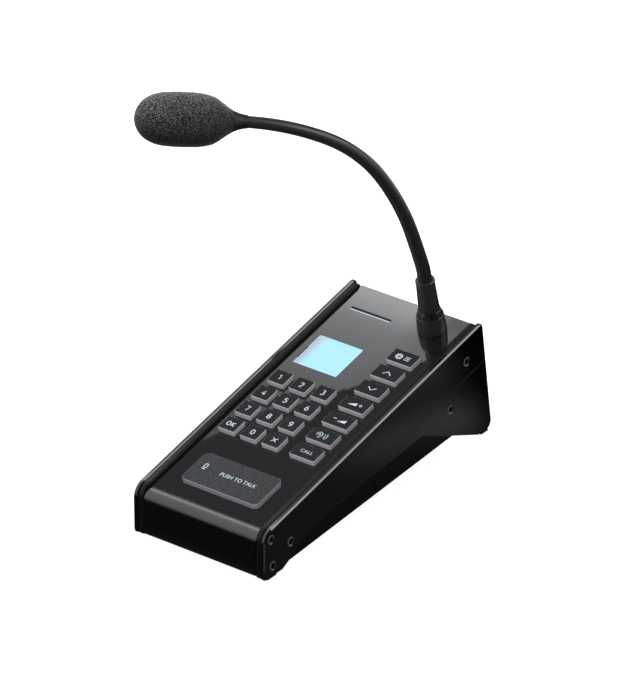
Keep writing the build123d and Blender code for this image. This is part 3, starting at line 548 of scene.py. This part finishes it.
def tube(name, start, end):
    """Open tube along the neck between two stations, a ring of points at about every millimetre."""
    count, around = round(end - start), 48
    vertices, faces = [], []
    for i in range(count + 1):
        station = start + (end - start) * i / count
        centre, ahead = neck_at(station)
        side = ahead.cross(NECK_NORMAL).normalized()
        radius = (neck_radius(station) + COIL_SWELL * sin(station * tau / COIL_PITCH)) * MM
        for k in range(around):
            angle = tau * k / around
            vertices.append(centre + (side * cos(angle) + NECK_NORMAL * sin(angle)) * radius)
    for i in range(count):
        for k in range(around):
            j = (k + 1) % around
            faces.append((i * around + k, i * around + j, (i + 1) * around + j, (i + 1) * around + k))
    mesh = bpy.data.meshes.new(name)
    mesh.from_pydata(vertices, [], faces)
    mesh.polygons.foreach_set("use_smooth", [True] * len(mesh.polygons))
    return mesh


BENDS = (  # sheath name, bodies below and above its pivot, nodes it stands for
    ("sheath_root", "console", "neck_link", ()),
    ("sheath_lower", "neck_link", "neck_lower", ("neck_link",)),
    ("sheath_middle", "neck_lower", "neck_middle", ("neck_lower",)),
    ("sheath_upper", "neck_middle", "head", ("neck_middle", "neck_upper")),
)
BLEND = 12.0             # BLEND = 12.0 # distance to both sides of each pivot of the near and far neck points, which nothing uses
IN_SLEEVE = 40.8         # the sheath starts out of sight in the sleeve and ends in the collar
IN_COLLAR = MIC_STATION - 4.0
PIVOTS = [NECK_STRAIGHT + sum(length for length, _ in NECK_ARCS[:count]) for count in (1, 2, 3, 4)]
SEAMS = [IN_SLEEVE, *((one + two) / 2 for one, two in zip(PIVOTS, PIVOTS[1:])), IN_COLLAR]
for (name, below, above, hidden), start, end, pivot in zip(BENDS, SEAMS, SEAMS[1:], PIVOTS):
    mesh = tube(name, start, end)
    mesh.materials.append(neck_sheath)
    sheath = bpy.data.objects.new(name, mesh)
    bpy.context.scene.collection.objects.link(sheath)
    near, far = neck_at(pivot - BLEND)[0], neck_at(pivot + BLEND)[0]
    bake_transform(sheath)
    if hidden:
        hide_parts(*hidden)


# --- foam windscreen ------------------------------------------------------------------------------------
FOAM = (  # radius and place along the microphone from the end of the neck
    (7.4, 5.7), (8.7, 5.75), (10.7, 8.9), (12.8, 12.0), (14.8, 15.2), (16.4, 18.2), (17.9, 23.5),
    (18.7, 30.5), (18.95, 41.0), (18.7, 51.5), (17.7, 58.5), (15.9, 64.0), (13.1, 68.5), (9.2, 72.0),
    (4.9, 74.2), (0.0, 75.0),
)


def smooth_profile(points, step):
    """Evenly spaced points of a smooth curve through the given ones."""
    samples = []
    padded = [points[0], *points, (-points[-2][0], points[-2][1])]
    for a, b, c, d in zip(padded, padded[1:], padded[2:], padded[3:]):
        for i in range(24):
            t = i / 24
            samples.append(tuple(
                0.5 * (2 * q + (r - p) * t + (2 * p - 5 * q + 4 * r - s) * t * t
                       + (3 * q - p - 3 * r + s) * t ** 3)
                for p, q, r, s in zip(a, b, c, d)))
    samples.append(points[-1])
    even, left = [samples[0]], step
    for one, two in zip(samples, samples[1:]):
        run = sqrt((two[0] - one[0]) ** 2 + (two[1] - one[1]) ** 2)
        while run >= left > 0:
            share = left / run
            one = (one[0] + (two[0] - one[0]) * share, one[1] + (two[1] - one[1]) * share)
            even.append(one)
            run, left = run - left, step
        left -= run
    return even


def foam_mesh():
    """Foam ball of revolution with the uneven skin of cut open-cell foam."""
    profile = smooth_profile(FOAM, 0.45)[:-1]
    origin, ahead = neck_at(MIC_STATION)
    side = ahead.cross(NECK_NORMAL).normalized()
    around, vertices, faces = 260, [], []
    for radius, place in profile:
        for k in range(around):
            angle = tau * k / around
            outward = side * cos(angle) + NECK_NORMAL * sin(angle)
            point = origin + (outward * radius + ahead * place) * MM
            cells, lumps = noise.noise(point / (1.1 * MM)), noise.noise(point / (6 * MM))
            rough = cells * 0.16 + lumps * 0.10
            lift = min(1.0, (place - FOAM[0][1]) / 1.5)     # smooth where it meets the collar
            vertices.append(point + outward * rough * lift * MM)
    tip = len(vertices)
    vertices.append(origin + ahead * FOAM[-1][1] * MM)
    for i in range(len(profile) - 1):
        for k in range(around):
            j = (k + 1) % around
            faces.append((i * around + k, i * around + j, (i + 1) * around + j, (i + 1) * around + k))
    last = (len(profile) - 1) * around
    faces += [(last + k, last + (k + 1) % around, tip) for k in range(around)]
    mesh = bpy.data.meshes.new("foam_windscreen")
    mesh.from_pydata(vertices, [], faces)
    mesh.polygons.foreach_set("use_smooth", [True] * len(mesh.polygons))
    return mesh


windscreen = piece("foam_windscreen", foam_mesh(), foam, "head")
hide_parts("windscreen")


# --- studio: floor, light and camera ---------------------------------------------------------------------
CAMERA_TURN, CAMERA_RISE = radians(36.651), radians(28.769)
camera_right = Vector((cos(CAMERA_TURN), sin(CAMERA_TURN), 0))
camera_back = Vector((
    sin(CAMERA_TURN) * cos(CAMERA_RISE), -cos(CAMERA_TURN) * cos(CAMERA_RISE), sin(CAMERA_RISE)))
camera_up = camera_back.cross(camera_right)
CAMERA_SHIFT, CAMERA_LIFT, CAMERA_REACH = 80.0, 114.704, 4158.313       # from the middle of the deck's seam
CAMERA_PLACE = SEAM + (
    camera_right * CAMERA_SHIFT + camera_up * CAMERA_LIFT + camera_back * CAMERA_REACH) * MM
FOCAL_PIXELS, LONG_SIDE_PIXELS, SENSOR = 6000, 686, 36.0


def stage_mesh(name, vertices, faces, finish):
    mesh = bpy.data.meshes.new(name)
    mesh.from_pydata([tuple(v) for v in vertices], [], faces)
    mesh.materials.append(finish)
    made = bpy.data.objects.new(name, mesh)
    bpy.context.scene.collection.objects.link(made)
    return made


def shown_rays(tree):
    """1 for camera, glossy and transmission rays."""
    path = add(tree, "ShaderNodeLightPath")
    seen = add(tree, "ShaderNodeMath", {
        0: path.outputs["Is Camera Ray"], 1: path.outputs["Is Glossy Ray"]}, operation="MAXIMUM")
    return add(tree, "ShaderNodeMath", {
        0: seen.outputs[0], 1: path.outputs["Is Transmission Ray"]}, operation="MAXIMUM")


# White paper sweep: its own white for the rays that show it, and a diffuse share that keeps the shadow.
floor_white = bpy.data.materials.new("paper_sweep")
floor_white.use_nodes = True
tree = floor_white.node_tree
tree.nodes.clear()
paper = add(tree, "ShaderNodeBsdfDiffuse", {"Color": (0.32, 0.32, 0.32, 1)})
glow = add(tree, "ShaderNodeEmission", {"Color": (1, 1, 1, 1), "Strength": 0.9})
both = add(tree, "ShaderNodeAddShader", {0: paper.outputs[0], 1: glow.outputs[0]})
plain = add(tree, "ShaderNodeBsdfDiffuse", {"Color": (0.12, 0.12, 0.12, 1)})
mix = add(tree, "ShaderNodeMixShader", {
    0: shown_rays(tree).outputs[0], 1: plain.outputs[0], 2: both.outputs[0]})
add(tree, "ShaderNodeOutputMaterial", {"Surface": mix.outputs[0]})
FLOOR = 6.0              # half its width
stage_mesh("floor", [(-FLOOR, -FLOOR, 0), (FLOOR, -FLOOR, 0), (FLOOR, FLOOR, 0), (-FLOOR, FLOOR, 0)],
           [(0, 1, 2, 3)], floor_white)

world = bpy.data.worlds.new("studio")
bpy.context.scene.world = world
world.use_nodes = True
tree = world.node_tree
tree.nodes.clear()
backdrop = add(tree, "ShaderNodeBackground", {"Color": (1, 1, 1, 1), "Strength": 1.0})
ambient = add(tree, "ShaderNodeBackground", {"Color": (0.95, 0.98, 1, 1), "Strength": 0.32})
mix = add(tree, "ShaderNodeMixShader", {
    0: shown_rays(tree).outputs[0], 1: ambient.outputs[0], 2: backdrop.outputs[0]})
add(tree, "ShaderNodeOutputWorld", {"Surface": mix.outputs[0]})


def only_reflected(card):
    """A card that shapes reflections and is seen no other way."""
    card.visible_camera = card.visible_diffuse = card.visible_shadow = False
    card.visible_transmission = card.visible_volume_scatter = False


card_glow = bpy.data.materials.new("card_glow")
card_glow.use_nodes = True
tree = card_glow.node_tree
tree.nodes.clear()
level = add(tree, "ShaderNodeAttribute", attribute_name="level")
light = add(tree, "ShaderNodeEmission", {"Color": (0.97, 0.985, 1, 1), "Strength": level.outputs["Fac"]})
add(tree, "ShaderNodeOutputMaterial", {"Surface": light.outputs[0]})


def card(name, grid, level_at):
    """Card from rows of points, each vertex glowing by its own level."""
    rows, columns = len(grid), len(grid[0])
    vertices = [place for row in grid for place, _ in row]
    faces = [(r * columns + c, r * columns + c + 1, (r + 1) * columns + c + 1, (r + 1) * columns + c)
             for r in range(rows - 1) for c in range(columns - 1)]
    made = stage_mesh(name, vertices, faces, card_glow)
    levels = made.data.attributes.new("level", "FLOAT", "POINT")
    levels.data.foreach_set("value", [level_at(*key) for row in grid for _, key in row])
    only_reflected(made)


CARD_DISTANCE = 0.55


def mirrored(u, v):
    """Where the camera sees, mirrored in the deck at u and v, a card square to that line."""
    spot = deck(u, v)
    sight = (spot - CAMERA_PLACE).normalized()
    away = sight - UPWARD * 2 * sight.dot(UPWARD)
    centre = (deck(0, 130) - CAMERA_PLACE).normalized()
    axis = centre - UPWARD * 2 * centre.dot(UPWARD)
    reach = (deck(0, 130) + axis * CARD_DISTANCE - spot).dot(axis) / away.dot(axis)
    return spot + away * reach


def clamp(share):
    return min(max(share, 0), 1)


def between(steps, place):
    """Brightness at a place, along straight lines between steps of a place and a brightness."""
    for (place0, level0), (place1, level1) in zip(steps, steps[1:]):
        if place <= place1:
            break
    return level0 + (level1 - level0) * max(0, place - place0) / (place1 - place0)


DECK_STEPS = (  # place along the deck, brightness
    (60, 0.68), (110, 0.76), (155, 1.18), (200, 1.55), (222, 1.95), (235, 2.75), (250, 3.45), (340, 3.5),
)
DECK_SIDE = 49.5         # beyond this, the side frames and cheeks mirror the card


def deck_level(u, v):
    """Brightness of the rear card where it shows in the deck at u and v."""
    if abs(u) > 170 or v > 340:
        return 0.08                    # dark surround, for the neck and the microphone
    if u > DECK_SIDE:
        return 0.8 if v < 190 else 0.1     # over the right cheek's and frame's upper edges
    if u < -DECK_SIDE:
        return 2.2                     # over the left ones
    edge = 60 + (u + 47) * 1.58        # the card's lower edge runs slantwise
    if v < edge:
        return 0.15
    beside = clamp((u - 5) / 30)       # it falls off to the right, and more so at the rear
    return between(DECK_STEPS, v) * (1 - beside * (0.2 + 0.47 * clamp((v - 206) / 40)))


def span(low, high, count):
    return [low + (high - low) * i / (count - 1) for i in range(count)]


card("rear_card", [[(mirrored(u, v), (u, v)) for u in span(-500, 500, 401)]
                   for v in span(0, 900, 181)], deck_level)


NOSE_STEPS = (  # forward lean of the surface in degrees, brightness
    (8, 6.5), (16, 6.5), (20, 3.0), (28, 2.4), (33, 1.8), (58, 1.7), (70, 1.1), (79, 0.5), (87, 0.12),
    (92, 0.05), (96, 0.05),
)


def nose_level(x, lean):
    """Brightness of the arched front card where it shows in the rounded nose, all along its width."""
    return between(NOSE_STEPS, lean)


def bounced(lean):
    """Direction in which the camera sees, mirrored in a surface leaning forward by so many degrees."""
    normal = Vector((0, -sin(radians(lean)), cos(radians(lean))))
    return normal * 2 * camera_back.dot(normal) - camera_back


card("front_card", [[(Vector((x, 0, 0.03)) + bounced(lean) * 0.9, (x, lean)) for x in span(-0.2, 0.2, 9)]
                    for lean in span(8, 96, 45)], nose_level)


def hooded(x, y):
    """Point of a bowl round the camera, x and y across its view."""
    return Vector((0, 0.12, 0.15)) + (camera_back + camera_right * x + camera_up * y).normalized() * 1.3


# dark hood round the camera, so that what faces it stays black
card("camera_hood", [[(hooded(x, y), (x, y)) for x in span(-0.9, 2.4, 34)]
                     for y in span(-0.7, 1.3, 21)], lambda x, y: 0.03)


def bell(x, y, centre, width):
    """Soft round patch, 1 at its centre."""
    return exp(-((x - centre[0]) / width[0]) ** 2 - ((y - centre[1]) / width[1]) ** 2)


def floor_level(x, y):
    """The table as the sides reflect it, x and y in millimetres: dark in front, pale to the front's right
    and left, and soft patches to the rear right that end along a slanting line."""
    if y < -20:
        return 0.5 if 62 < x < 200 else 0.01
    if x < -60:
        return 0.6 if y < 60 else 0.04
    patches = 0.06 + 0.14 * bell(x, y, (106, 190), (18, 40))
    patches += 0.22 * bell(x, y, (88, 245), (24, 44)) + 0.12 * bell(x, y, (142, 290), (18, 50))
    return patches * clamp((318 + 0.8 * (x - 115) - y) / 35)


card("table_card", [[(Vector((x, y, 0.2)) * MM, (x, y)) for x in span(-900, 900, 361)]
                    for y in span(-900, 900, 361)], floor_level)


# narrow strip beyond the right side: the bright line along the cheek's upper edge
beyond = Vector((0.617, 0.466, 0.634)).normalized()
beyond_x = beyond.cross(Vector((0, 0, 1))).normalized()
beyond_y = beyond_x.cross(beyond)
card("side_strip", [[(Vector((0.05, 0.12, 0.06)) + beyond * 0.9 + beyond_x * x + beyond_y * y, (x, y))
                     for x in span(-0.3, 0.3, 7)] for y in span(-0.12, 0.12, 7)], lambda x, y: 6.5)


def lamp(name, place, target, power, size, colour=(1, 1, 1)):
    """Soft rectangular lamp aimed at a point; the cards, not the lamps, make the reflections."""
    data = bpy.data.lights.new(name, "AREA")
    data.shape, data.size, data.size_y, data.energy, data.color = "RECTANGLE", size[0], size[1], power, colour
    made = bpy.data.objects.new(name, data)
    bpy.context.scene.collection.objects.link(made)
    made.visible_glossy = False
    made.location = place
    made.rotation_euler = (Vector(place) - Vector(target)).to_track_quat("Z", "Y").to_euler()


CENTRE = (0.0, 0.12, 0.08)
lamp("top_soft", (-0.8, -0.1, 1.5), CENTRE, 20, (1.2, 1.0), (0.96, 0.98, 1.0))
lamp("front_fill", (0.9, -1.4, 0.9), CENTRE, 17, (1.0, 0.8))
lamp("rear_rim", (-0.9, 1.7, 0.5), (-0.06, 0.06, 0.29), 55, (0.8, 0.3))

camera_data = bpy.data.cameras.new("camera")
camera_data.sensor_width = SENSOR
camera_data.lens = FOCAL_PIXELS * SENSOR / LONG_SIDE_PIXELS
camera_data.clip_end = 20.0
camera = bpy.data.objects.new("camera", camera_data)
camera.matrix_world = Matrix.Translation(CAMERA_PLACE) @ Matrix(
    (camera_right, camera_up, camera_back)).transposed().to_4x4()
bpy.context.scene.collection.objects.link(camera)
bpy.context.scene.camera = camera
bpy.context.scene.view_settings.view_transform = "Standard"
